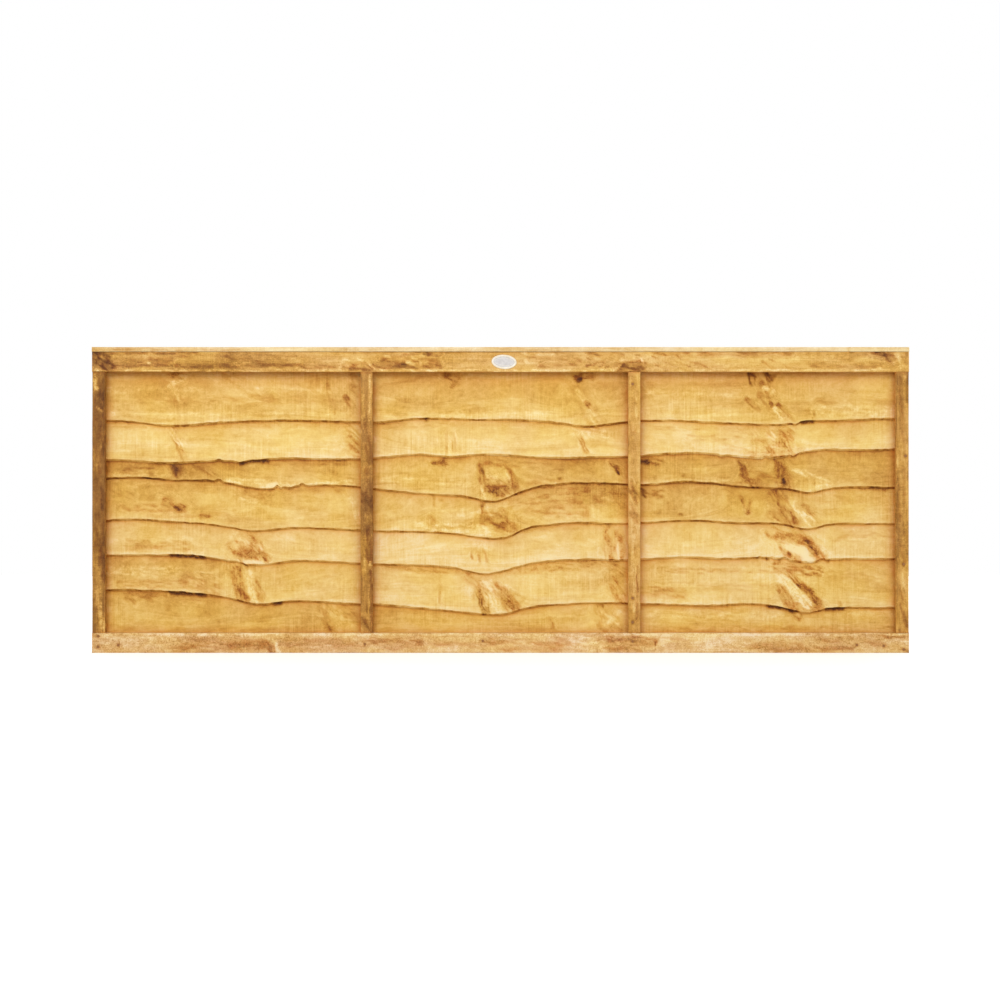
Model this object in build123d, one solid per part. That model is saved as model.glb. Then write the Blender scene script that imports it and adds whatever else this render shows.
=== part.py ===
from build123d import *
import os
from math import asin, ceil, cos, degrees, sin

# Lap fence panel in millimetres: +X along its length, -Y is the front, +Z up.
# The origin is the centre of its underside.

# The whole panel
panel_length = 1828.0
panel_height = 685.0
bay_count = 3

# Sawn frame timber
rail_height = 45.0
batten_thickness = 15.0
stile_width = 29.0
batten_width = 27.5
arris = 1.2

# Capping strip
capping_thickness = 11.0
capping_overhang = 3.0
capping_arris = 1.5

# Waney boards
board_thickness = 6.0
board_pitch = 78.3
widest_board = 170.0
board_end_inset = 3.0
top_tuck = 16.0
bottom_tuck = 25.0
wane_run = 4.0
lap_gap = 0.1
seat_gap = 0.3

# Nails, their heads flush with the wood's surface
nail_diameter = 2.7
nail_head_diameter = 6.0
nail_head_thickness = 1.3
nail_flats = 8
nail_point = 4.0
nail_point_taper = 14.0
nail_hole_gap = 0.05
nail_cover = 3.0
lap_nail_edge = 10.0
capping_nail_length = 35.0
capping_nail_pitch = 430.0
capping_nail_end = 54.0

# Oval badge with two moulded spikes
badge_length = 56.0
badge_height = 32.0
badge_base = 1.4
badge_rim_width = 4.5
badge_rim_rise = 0.9
badge_offset = 8.0
badge_tilt = -3.5
spike_spacing = 30.0
spike_diameter = 2.0
spike_length = 6.0
spike_hole_gap = 0.05

# Waney lower edges, one list for each lap from the top one down. Each point is its
# distance from the panel's left end and how far the edge hangs below the top edge
# of the board behind it.
waney_edges = [
    [(0, 50), (107, 53), (179, 60), (251, 55), (394, 48), (573, 51), (644, 52), (700, 46),
     (859, 46), (1038, 53), (1110, 62), (1165, 55), (1432, 54), (1504, 57), (1539, 58), (1611, 49),
     (1650, 48), (1720, 46), (1828, 45)],
    [(0, 58), (100, 61), (179, 66), (260, 60), (322, 60), (394, 56), (573, 56), (644, 53),
     (752, 47), (788, 51), (859, 46), (967, 51), (1074, 53), (1253, 47), (1360, 42), (1432, 48),
     (1539, 52), (1611, 38), (1700, 35), (1828, 32)],
    [(0, 26), (107, 20), (179, 25), (286, 29), (345, 41), (394, 44), (465, 38), (573, 38),
     (644, 47), (788, 58), (859, 67), (895, 74), (931, 64), (967, 49), (1038, 35), (1110, 31),
     (1253, 35), (1325, 29), (1468, 41), (1575, 48), (1611, 54), (1640, 47), (1680, 42),
     (1750, 42), (1828, 42)],
    [(0, 42), (107, 36), (179, 41), (251, 45), (322, 56), (358, 61), (430, 56), (573, 59),
     (716, 63), (823, 69), (895, 79), (931, 75), (967, 57), (1002, 50), (1074, 43), (1181, 45),
     (1360, 38), (1468, 45), (1539, 45), (1575, 52), (1611, 57), (1645, 48), (1685, 45),
     (1755, 45), (1828, 45)],
    [(0, 36), (179, 37), (251, 41), (322, 54), (358, 59), (430, 52), (573, 55), (752, 61),
     (823, 68), (877, 79), (931, 70), (967, 59), (1074, 48), (1124, 46), (1163, 49), (1226, 47),
     (1304, 42), (1423, 45), (1545, 46), (1584, 52), (1615, 53), (1650, 48), (1690, 46),
     (1755, 46), (1828, 46)],
    [(0, 38), (130, 39), (179, 42), (215, 45), (251, 48), (322, 60), (358, 69), (430, 63),
     (573, 69), (644, 71), (716, 77), (788, 82), (859, 91), (895, 93), (931, 90), (967, 79),
     (1010, 72), (1074, 68), (1253, 68), (1396, 71), (1539, 75), (1611, 88), (1650, 79),
     (1690, 77), (1755, 77), (1828, 77)],
]
# The last board's edge behind the bottom rail, from the line where its tuck ends.
hidden_edge = [(0, 1), (380, 6), (905, 9), (1300, 2), (1828, 4)]

# Nails seen in the front, by the upright's number counted from the left: how far
# right of its middle each is, and how high above the rail's underside.
bottom_rail_nail_places = {
    0: [(-1, 14), (-1, 38), (44, 18)],
    1: [(-4, 20), (260, 27)],
    2: [(-4, 26)],
    3: [(-102, 18), (-42, 16), (3, 8)],
}
# The same through the uprights, the height from the bottom rail's top, or down
# from the top rail's lower edge where it is negative.
upright_nail_places = {
    2: [(-4, -27), (-4, 78), (-4, 24)],
    3: [(7, 396), (3, 154)],
}

# Levels and places that follow from these sizes
field_bottom = rail_height
field_top = panel_height - capping_thickness - rail_height
first_board_top = field_top + top_tuck
last_board_edge = field_bottom - bottom_tuck
board_count = 1 + ceil((first_board_top - last_board_edge - widest_board) / board_pitch)
lean = asin((board_thickness + lap_gap) / board_pitch)
bay_width = (panel_length - 2 * stile_width - (bay_count - 1) * batten_width) / bay_count


def upright_widths():
    """Widths of the uprights, from the left."""
    return [stile_width] + [batten_width] * (bay_count - 1) + [stile_width]


def upright_middles():
    """X of each upright's middle, from the left."""
    middles = []
    x = -panel_length / 2
    for width in upright_widths():
        middles.append(x + width / 2)
        x += width + bay_width
    return middles


def board_top(index):
    """Height of a board's top edge; 0 is the top board."""
    return first_board_top - index * board_pitch


def edge_heights(index):
    """Points (x, z) of a board's waney lower edge, from end to end of the board."""
    if index < board_count - 1:
        points = waney_edges[index % len(waney_edges)]
        line = board_top(index + 1)
    else:
        points = hidden_edge
        line = last_board_edge
    half = panel_length / 2
    low = -half + board_end_inset
    high = half - board_end_inset
    placed = [(distance - half, line - drop) for distance, drop in points]
    inside = [p for p in placed if low + arris < p[0] < high - arris]
    return [(low, height_at(placed, low))] + inside + [(high, height_at(placed, high))]


def height_at(points, x):
    """Height at x of the line through the points, level beyond its ends."""
    if x <= points[0][0]:
        return points[0][1]
    for (x0, z0), (x1, z1) in zip(points, points[1:]):
        if x <= x1:
            return z0 + (z1 - z0) * (x - x0) / (x1 - x0)
    return points[-1][1]


def board_reach(index, low, high):
    """How far forward of its top back edge a board comes between two places in X."""
    points = edge_heights(index)
    lowest = min([height_at(points, low), height_at(points, high)]
                 + [z for x, z in points if low <= x <= high])
    width = (board_top(index) - lowest) / cos(lean)
    return (width - wane_run) * sin(lean) + board_thickness * cos(lean)


def lap_depth():
    """Room between the front and the back timber for the leaning boards."""
    reaches = [board_reach(board_count - 1, -panel_length / 2, panel_length / 2)]
    for middle, width in zip(upright_middles(), upright_widths()):
        for index in range(board_count):
            reaches.append(board_reach(index, middle - width / 2, middle + width / 2))
    return max(reaches) + 2 * seat_gap


boards_depth = lap_depth()
panel_depth = boards_depth + 2 * batten_thickness
front_face = -panel_depth / 2
back_face = panel_depth / 2
nail_length = panel_depth - nail_cover


def waney_board(index):
    """A leaning board: straight top edge, lower edge sloping through its thickness."""
    top = board_top(index)
    back_edge = [(x, -(top - z) / cos(lean)) for x, z in edge_heights(index)]
    front_edge = [(x, y + wane_run) for x, y in back_edge]
    solid = loft([board_outline(back_edge), Pos(0, 0, board_thickness) * board_outline(front_edge)],
                 ruled=True)
    seat = Plane(origin=(0, boards_depth / 2 - seat_gap, top), x_dir=(1, 0, 0),
                 z_dir=(0, -cos(lean), sin(lean)))
    return seat.location * solid


def board_outline(edge):
    """Flat outline of one face of a board, its straight top edge on the X axis."""
    left = edge[0]
    right = edge[-1]
    sides = Polyline(right, (right[0], 0), (left[0], 0), left)
    return make_face(Curve() + [Spline(*edge), sides])


def timber(size, low_corner, grain, edge_cut):
    """Sawn timber with its long corners eased, from its lowest corner."""
    block = Pos(*low_corner) * Box(*size, align=(Align.MIN, Align.MIN, Align.MIN))
    return chamfer(block.edges().filter_by(grain), edge_cut)


def frame_timber():
    """Rails and uprights of both faces, by name."""
    pieces = {}
    layers = {"front": front_face, "back": back_face - batten_thickness}
    for side, y in layers.items():
        rail_size = (panel_length, batten_thickness, rail_height)
        for level, z in {"bottom_rail": 0, "top_rail": field_top}.items():
            pieces[f"{side}_{level}"] = timber(rail_size, (-panel_length / 2, y, z), Axis.X, arris)
        for number, (middle, width) in enumerate(zip(upright_middles(), upright_widths())):
            size = (width, batten_thickness, field_top - field_bottom)
            corner = (middle - width / 2, y, field_bottom)
            pieces[f"{side}_{upright_name(number)}"] = timber(size, corner, Axis.Z, arris)
    return pieces


def upright_name(number):
    """Name of an upright counted from the left."""
    if number == 0:
        return "left_stile"
    if number == bay_count:
        return "right_stile"
    return f"batten_{number}"


def top_capping():
    """Capping strip over the top rails, a little proud of both faces."""
    depth = panel_depth + 2 * capping_overhang
    size = (panel_length, depth, capping_thickness)
    corner = (-panel_length / 2, -depth / 2, panel_height - capping_thickness)
    return timber(size, corner, Axis.X, capping_arris)


def nail(length, gap=0.0):
    """Nail drawn with flats, pointing down from its flush head's face at z = 0.

    With a gap it is the room that the nail takes, open above the surface.
    """
    head = flats(nail_head_diameter / 2 + gap)
    shank = flats(nail_diameter / 2 + gap)
    rise = nail_head_thickness if gap else 0
    straight = length - nail_head_thickness - nail_point
    solid = Pos(0, 0, -nail_head_thickness) * extrude(head, nail_head_thickness + rise)
    solid += Pos(0, 0, -nail_head_thickness - straight) * extrude(shank, straight)
    point = extrude(shank, nail_point + gap, taper=nail_point_taper)
    return solid + Pos(0, 0, -nail_head_thickness - straight) * Rot(180, 0, 0) * point


def flats(radius):
    """Outline of a round bar drawn with flats."""
    return RegularPolygon(radius, nail_flats)


def front_spots(places):
    """Surface planes on the front face for (x, z) places."""
    return [Plane(origin=(x, front_face, z), x_dir=(1, 0, 0), z_dir=(0, -1, 0)) for x, z in places]


def back_spots(places):
    """Surface planes on the back face for (x, z) places."""
    return [Plane(origin=(x, back_face, z), x_dir=(1, 0, 0), z_dir=(0, 1, 0)) for x, z in places]


def by_upright(places_by_number):
    """(x, height) of each place given from the middle of a numbered upright."""
    middles = upright_middles()
    return [(middles[number % len(middles)] + across, height)
            for number, places in places_by_number.items() for across, height in places]


def bottom_rail_nail_spots():
    """Front nails through the bottom rails."""
    return front_spots(by_upright(bottom_rail_nail_places))


def upright_nail_spots():
    """Front nails through the uprights."""
    return front_spots([(x, field_bottom + height if height > 0 else field_top + height)
                        for x, height in by_upright(upright_nail_places)])


def lap_nail_spots():
    """Back nails through both boards of each lap, at each upright."""
    return back_spots([(x, board_top(index) - lap_nail_edge)
                       for x in upright_middles() for index in range(1, board_count)])


def top_rail_nail_spots():
    """Back nails through the top rails, above each upright."""
    return back_spots([(x, field_top + rail_height / 2) for x in upright_middles()])


def capping_nail_spots():
    """Nails down through the capping, into the front and the back rail by turns."""
    reach = panel_length / 2 - capping_nail_end
    steps = max(1, round(2 * reach / capping_nail_pitch))
    rail_middle = (panel_depth - batten_thickness) / 2
    spots = []
    for step in range(steps + 1):
        x = -reach + 2 * reach * step / steps
        y = rail_middle if step % 2 else -rail_middle
        spots.append(Plane(origin=(x, y, panel_height)))
    return spots


def badge_seat():
    """Plane of the badge's back, on the front of the top rail."""
    upright = Plane(origin=(badge_offset, front_face, field_top + rail_height / 2), x_dir=(1, 0, 0),
                    z_dir=(0, -1, 0))
    return upright.location * Rot(0, 0, badge_tilt)


def badge():
    """Blank oval plate with a raised rim and two spikes behind it."""
    long_radius = badge_length / 2
    short_radius = badge_height / 2
    plate = extrude(Ellipse(long_radius, short_radius), badge_base + badge_rim_rise)
    dish = extrude(Ellipse(long_radius - badge_rim_width, short_radius - badge_rim_width), badge_rim_rise)
    plate -= Pos(0, 0, badge_base) * dish
    return plate + badge_spikes(spike_diameter / 2, spike_length)


def badge_spikes(radius, length):
    """The two spikes behind the plate's back face."""
    return [Pos(side * spike_spacing / 2, 0, -length) * extrude(flats(radius), length)
            for side in (-1, 1)]


def without(pieces, cutters):
    """The pieces with each cutter taken out of those that it reaches."""
    boxes = [(cutter, cutter.bounding_box()) for cutter in cutters]
    cut = {}
    for name, piece in pieces.items():
        box = piece.bounding_box()
        near = [cutter for cutter, room in boxes if boxes_meet(box, room)]
        cut[name] = piece - near if near else piece
    return cut


def boxes_meet(a, b):
    """Whether two bounding boxes share any room."""
    return (a.min.X < b.max.X and b.min.X < a.max.X and a.min.Y < b.max.Y and b.min.Y < a.max.Y
            and a.min.Z < b.max.Z and b.min.Z < a.max.Z)


nail_groups = {
    "bottom_rail_nails": (bottom_rail_nail_spots(), nail_length),
    "upright_nails": (upright_nail_spots(), nail_length),
    "lap_nails": (lap_nail_spots(), nail_length),
    "top_rail_nails": (top_rail_nail_spots(), nail_length),
    "capping_nails": (capping_nail_spots(), capping_nail_length),
}

wood = {f"lap_board_{index + 1}": waney_board(index) for index in range(board_count)}
wood.update(frame_timber())
wood["top_capping"] = top_capping()

seats = []
nails = {}
for group, (spots, length) in nail_groups.items():
    seats += [spot.location * nail(length, nail_hole_gap) for spot in spots]
    nails[group] = Compound([spot.location * nail(length) for spot in spots])
badge_place = badge_seat()
seats += [badge_place * spike for spike in badge_spikes(spike_diameter / 2 + spike_hole_gap,
                                                        spike_length + spike_hole_gap)]

parts = without(wood, seats)
parts.update(nails)
parts["badge"] = badge_place * badge()

os.makedirs("parts", exist_ok=True)
for name, part in parts.items():
    export_step(part, f"parts/{name}.step")
print("boards", board_count, "lean", round(degrees(lean), 2), "depth", round(panel_depth, 2))
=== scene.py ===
import math
import bpy
import numpy as np
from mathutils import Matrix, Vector


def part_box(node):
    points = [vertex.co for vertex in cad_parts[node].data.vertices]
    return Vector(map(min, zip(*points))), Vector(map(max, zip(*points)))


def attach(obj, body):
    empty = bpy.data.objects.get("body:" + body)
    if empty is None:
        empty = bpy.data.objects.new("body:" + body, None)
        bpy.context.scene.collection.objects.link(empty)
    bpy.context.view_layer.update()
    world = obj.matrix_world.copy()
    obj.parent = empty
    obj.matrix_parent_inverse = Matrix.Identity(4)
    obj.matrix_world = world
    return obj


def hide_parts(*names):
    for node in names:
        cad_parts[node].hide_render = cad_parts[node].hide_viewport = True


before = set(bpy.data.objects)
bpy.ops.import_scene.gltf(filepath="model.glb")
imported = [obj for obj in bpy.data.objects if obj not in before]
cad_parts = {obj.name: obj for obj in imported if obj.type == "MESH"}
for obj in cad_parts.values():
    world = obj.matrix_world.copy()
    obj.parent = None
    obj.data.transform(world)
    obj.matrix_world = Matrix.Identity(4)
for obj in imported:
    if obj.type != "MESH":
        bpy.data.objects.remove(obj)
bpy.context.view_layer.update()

# Lap fence panel in metres: +X along its length, -Y is the front, +Z up.
MM = 0.001
BODY = "root"
UPRIGHTS = ("left_stile", "batten_1", "batten_2", "right_stile")

# Camera, square on to the panel, in the photograph's frame of 1000 pixels
PHOTO_SIZE = 1000
PIXEL = 2.2375 * MM              # one pixel at the panel's front face
PHOTO_MIDDLE_X = 500.5           # pixel column of the panel's middle
PHOTO_GROUND_Y = 653.05          # pixel row of its underside
SENSOR = 36.0
CAMERA_DISTANCE = 4.0

# Size of the mesh cells
BOARD_CELL = 3.0 * MM
RAIL_CELL = 3.4 * MM
BACK_RAIL_CELL = 6.0 * MM
CAPPING_CELL = 3.5 * MM
SHARP_ANGLE = math.radians(38)   # faces that meet at more than this are shaded apart

# Waney edge
WANE_ROWS = 6
EDGE_SMOOTHING = 7.0 * MM
EDGE_RAGGED = 0.7 * MM
WANE_SWING = 2.6 * MM            # slow changes of the wane's width
WANE_FLICKER = 1.2 * MM          # quick ones
WANE_LUMPS = 0.35 * MM
TIP_THICKNESS = 0.8 * MM         # of the wane's thin end
TIP_LIFT = 2.0 * MM              # an open lap's tip stands this far forward,
TIP_RISE = 1.2 * MM              # its edge this far up,
BACK_LIFT = 1.9 * MM             # and the back face this far off the next board,
BACK_LIFT_LENGTH = 14 * MM       # along this much of it

# Sawn surfaces, growth rings and worn corners
FACE_RELIEF = 0.35 * MM
LEAST_SUNK = 0.10 * MM           # keeps the timber inside its CAD box
RING_PITCH = 11.0 * MM
RING_DEPTH = 0.09                # pith of the log below a board's face
PITH_RAIL = (0.045, -0.018)      # pith from a bar's lower corner, across the grain
PITH_UPRIGHT = (0.012, 0.050)
PITH_CAPPING = (0.02, -0.03)
WORN = 1.1 * MM                  # radius of a bar's long corners
CAPPING_WORN = 1.2 * MM
NICKS = 0.3 * MM                 # small changes of that radius
CORNER_TURNS = (30, 60)          # degrees where a rounded corner has its edges
NAIL_DIP = 0.45 * MM             # sunken place round a nail
NAIL_DIP_REACH = 4.2 * MM
NAIL_STAIN_REACH = 4.5 * MM

# Painted brown shade, its strength and reach: on boards beside uprights, under the top rail and
# over the bottom one; and brown dirt on uprights where they butt a rail
SHADE_UPRIGHT = (0.85, 9 * MM)
SHADE_TOP = (0.75, 24 * MM)
SHADE_BOTTOM = (0.6, 7 * MM)
STAIN_JOINT = (0.55, 4 * MM)

# Painted shade on a board below the lap of the one above, with a near-black painted shadow
# line at the lap and deeper painted shadow where the lap is open; and the board's colour towards
# its own lower edge: paler wood, with a painted highlight on the rim
LAP_REACH = 12 * MM
LAP_SHADE = 0.08
LAP_BROWN_SHADE = 0.55
CONTACT_SHARE = 0.42             # near-black line at the lap, and its reach
CONTACT_REACH = 2.6 * MM
OPEN_REACH = 4.5 * MM            # reach of the dark where the lap is open
EDGE_LIGHT = 0.09                # lighter and creamier towards the lower edge
EDGE_CREAM = 0.45
EDGE_REACH = 18 * MM
# Reach of the painted highlight on the rim above the wane
RIM_HIGHLIGHT_REACH = 5 * MM
WANE_BORDER = 0.9 * MM           # width over which sawn wood turns into wane

# Light from all round, and how much of the floor's white is its own, near and far
AMBIENT = 0.52
FLOOR_HALF = 4.0
FLOOR_ALBEDO = 0.84
FLOOR_LIFT = (0.45, 1.0)
LIFT_REACH = (0.8, 2.2)
# Lamps: name, place, aim, size and power in watts
LAMPS = (("key", (-1.3, -3.3, 2.2), (0, 0, 0.32), (2.4, 1.6), 57),
         ("fill", (1.9, -3.2, 1.3), (0, 0, 0.34), (2.2, 2.0), 22),
         ("back", (1.2, 3.2, 2.6), (0, 0, 0.32), (2.4, 1.8), 60))


# Noise

def lattice(ix, iy, seed):
    """Repeatable numbers from 0 to 1 at whole-number places, by multiplying and folding bits."""
    h = (ix.astype(np.int64) * 374761393 + iy.astype(np.int64) * 668265263 + seed * 974711) & 0xFFFFFFFF
    h = ((h ^ (h >> 13)) * 1274126177) & 0xFFFFFFFF
    h = ((h ^ (h >> 16)) * 2246822519) & 0xFFFFFFFF
    return ((h ^ (h >> 15)) & 0xFFFFFF) / float(0xFFFFFF)


def noise(x, y, seed):
    """Smooth noise from 0 to 1 whose features are about one unit across."""
    x, y = np.broadcast_arrays(np.asarray(x, float), np.asarray(y, float))
    ix = np.floor(x)
    iy = np.floor(y)
    u = x - ix
    v = y - iy
    u = u * u * (3 - 2 * u)
    v = v * v * (3 - 2 * v)
    low = lattice(ix, iy, seed) * (1 - u) + lattice(ix + 1, iy, seed) * u
    high = lattice(ix, iy + 1, seed) * (1 - u) + lattice(ix + 1, iy + 1, seed) * u
    return low * (1 - v) + high * v


def fractal(x, y, seed, octaves=3):
    """Noise from 0 to 1 with finer detail added. Given x / 0.045, its features are 45 mm long."""
    total = 0.0
    weight = 0.0
    for octave in range(octaves):
        share = 0.5 ** octave
        total = total + share * noise(np.asarray(x) * 2 ** octave, np.asarray(y) * 2 ** octave, seed + octave)
        weight += share
    return total / weight


def smooth(t):
    """Smooth step from 0 to 1."""
    t = np.clip(t, 0.0, 1.0)
    return t * t * (3 - 2 * t)


# Shader nodes

def srgb(red, green, blue):
    """Linear colour from a colour as a screen shows it, 0 to 255."""
    values = [channel / 255 for channel in (red, green, blue)]
    return tuple(v / 12.92 if v <= 0.04045 else ((v + 0.055) / 1.055) ** 2.4 for v in values) + (1.0,)


class Shader:
    """A material or a world whose nodes are made by short calls."""

    def __init__(self, owner, surface="Principled BSDF"):
        owner.use_nodes = True
        self.owner = owner
        self.tree = owner.node_tree
        self.surface = self.tree.nodes[surface]

    def put(self, socket, value):
        """Link a socket to another, or set it to a number or a colour."""
        if isinstance(value, bpy.types.NodeSocket):
            self.tree.links.new(value, socket)
        else:
            socket.default_value = value

    def new(self, kind, inputs=None):
        node = self.tree.nodes.new("ShaderNode" + kind)
        for key, value in (inputs or {}).items():
            self.put(node.inputs[key], value)
        return node

    def math(self, operation, a, b=0.0, clamp=False):
        node = self.new("Math", {0: a, 1: b})
        node.operation = operation
        node.use_clamp = clamp
        return node.outputs[0]

    def add(self, *terms):
        total = terms[0]
        for term in terms[1:]:
            total = self.math("ADD", total, term)
        return total

    def times(self, a, b):
        return self.math("MULTIPLY", a, b)

    def attribute(self, name, vector=False):
        node = self.new("Attribute")
        node.attribute_name = name
        return node.outputs["Vector" if vector else "Fac"]

    def place(self):
        return self.new("TexCoord").outputs["Object"]

    def scaled(self, vector, scale):
        node = self.new("VectorMath", {0: vector, 1: scale})
        node.operation = "MULTIPLY"
        return node.outputs[0]

    def noise(self, vector, scale, detail=2.0, roughness=0.5, distortion=0.0):
        return self.new("TexNoise", {"Vector": self.scaled(vector, scale), "Scale": 1.0, "Detail": detail,
                                     "Roughness": roughness, "Distortion": distortion}).outputs[0]

    def about(self, value, amount):
        """A 0 to 1 value turned into plus or minus an amount."""
        return self.times(self.math("SUBTRACT", value, 0.5), 2 * amount)

    def range(self, value, low, high, to_low=0.0, to_high=1.0, kind="SMOOTHSTEP"):
        node = self.new("MapRange", {"Value": value, "From Min": low, "From Max": high,
                                     "To Min": to_low, "To Max": to_high})
        node.interpolation_type = kind
        return node.outputs[0]

    def ramp(self, value, stops):
        node = self.new("ValToRGB", {0: value})
        points = node.color_ramp.elements
        while len(points) < len(stops):
            points.new(0.5)
        for point, (place, colour) in zip(points, stops):
            point.position = place
            point.color = srgb(*colour)
        return node.outputs[0]

    def mix(self, amount, a, b, blend="MIX"):
        """Two colours mixed; a Mix node keeps its colours in sockets 6 and 7, the result in 2."""
        node = self.new("Mix")
        node.data_type = "RGBA"
        node.blend_type = blend
        for socket, value in ((0, amount), (6, a), (7, b)):
            self.put(node.inputs[socket], value)
        return node.outputs[2]

    def finish(self, colour, roughness, height, depth):
        """Colour, roughness and a bump of a depth in metres; returns the material."""
        bump = self.new("Bump", {"Distance": depth, "Strength": 1.0, "Height": height})
        for key, value in (("Base Color", colour), ("Roughness", roughness), ("Normal", bump.outputs[0])):
            self.put(self.surface.inputs[key], value)
        return self.owner


# Camera, floor and light

front_face_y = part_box("front_top_rail")[0].y
camera_place = Vector(((PHOTO_SIZE / 2 - PHOTO_MIDDLE_X) * PIXEL, -CAMERA_DISTANCE,
                       (PHOTO_GROUND_Y - PHOTO_SIZE / 2) * PIXEL))
camera_reach = front_face_y - camera_place.y
focal = SENSOR * camera_reach / (PHOTO_SIZE * PIXEL)
PIXELS_PER_SLOPE = PHOTO_SIZE * focal / SENSOR


def to_photo(x, y, z):
    """Where a place on the panel falls in the photograph's frame."""
    reach = y - camera_place.y
    return (PHOTO_SIZE / 2 + (x - camera_place.x) * PIXELS_PER_SLOPE / reach,
            PHOTO_SIZE / 2 - (z - camera_place.z) * PIXELS_PER_SLOPE / reach)


def make_camera():
    data = bpy.data.cameras.new("camera")
    data.sensor_width = SENSOR
    data.lens = focal
    camera = bpy.data.objects.new("camera", data)
    camera.location = camera_place
    camera.rotation_euler = (math.pi / 2, 0, 0)
    bpy.context.scene.collection.objects.link(camera)
    bpy.context.scene.camera = camera


def make_lamp(name, place, target, size, energy):
    data = bpy.data.lights.new(name, "AREA")
    data.shape = "RECTANGLE"
    data.size = size[0]
    data.size_y = size[1]
    data.energy = energy
    lamp = bpy.data.objects.new(name, data)
    lamp.location = place
    lamp.rotation_euler = (Vector(target) - Vector(place)).to_track_quat("-Z", "Y").to_euler()
    bpy.context.scene.collection.objects.link(lamp)


def seen_directly(shader):
    """1 for rays from the camera, in a mirror or through glass, else 0."""
    path = shader.new("LightPath").outputs
    mirrored = shader.math("MAXIMUM", path["Is Camera Ray"], path["Is Glossy Ray"])
    return shader.math("MAXIMUM", mirrored, path["Is Transmission Ray"])


def make_world():
    shader = Shader(bpy.data.worlds.new("world"), "Background")
    shader.surface.inputs["Color"].default_value = (1, 1, 1, 1)
    strength = shader.range(seen_directly(shader), 0.0, 1.0, AMBIENT, 1.0, "LINEAR")
    shader.put(shader.surface.inputs["Strength"], strength)
    bpy.context.scene.world = shader.owner


def make_floor():
    mesh = bpy.data.meshes.new("floor")
    half = FLOOR_HALF
    mesh.from_pydata([(-half, -half, 0), (half, -half, 0), (half, half, 0), (-half, half, 0)], [],
                     [(0, 1, 2, 3)])
    floor = bpy.data.objects.new("floor", mesh)
    bpy.context.scene.collection.objects.link(floor)
    shader = Shader(bpy.data.materials.new("floor"))
    inputs = shader.surface.inputs
    inputs["Base Color"].default_value = (FLOOR_ALBEDO, FLOOR_ALBEDO, FLOOR_ALBEDO, 1)
    inputs["Roughness"].default_value = 1.0
    inputs["Specular IOR Level"].default_value = 0.0
    inputs["Emission Color"].default_value = (1, 1, 1, 1)
    distance = shader.new("VectorMath", {0: shader.place()})
    distance.operation = "LENGTH"
    lift = shader.range(distance.outputs["Value"], *LIFT_REACH, *FLOOR_LIFT, "LINEAR")
    shader.put(inputs["Emission Strength"], shader.times(seen_directly(shader), lift))
    mesh.materials.append(shader.owner)


make_camera()
make_world()
make_floor()
for lamp in LAMPS:
    make_lamp(*lamp)
bpy.context.scene.view_settings.view_transform = "Standard"
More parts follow.
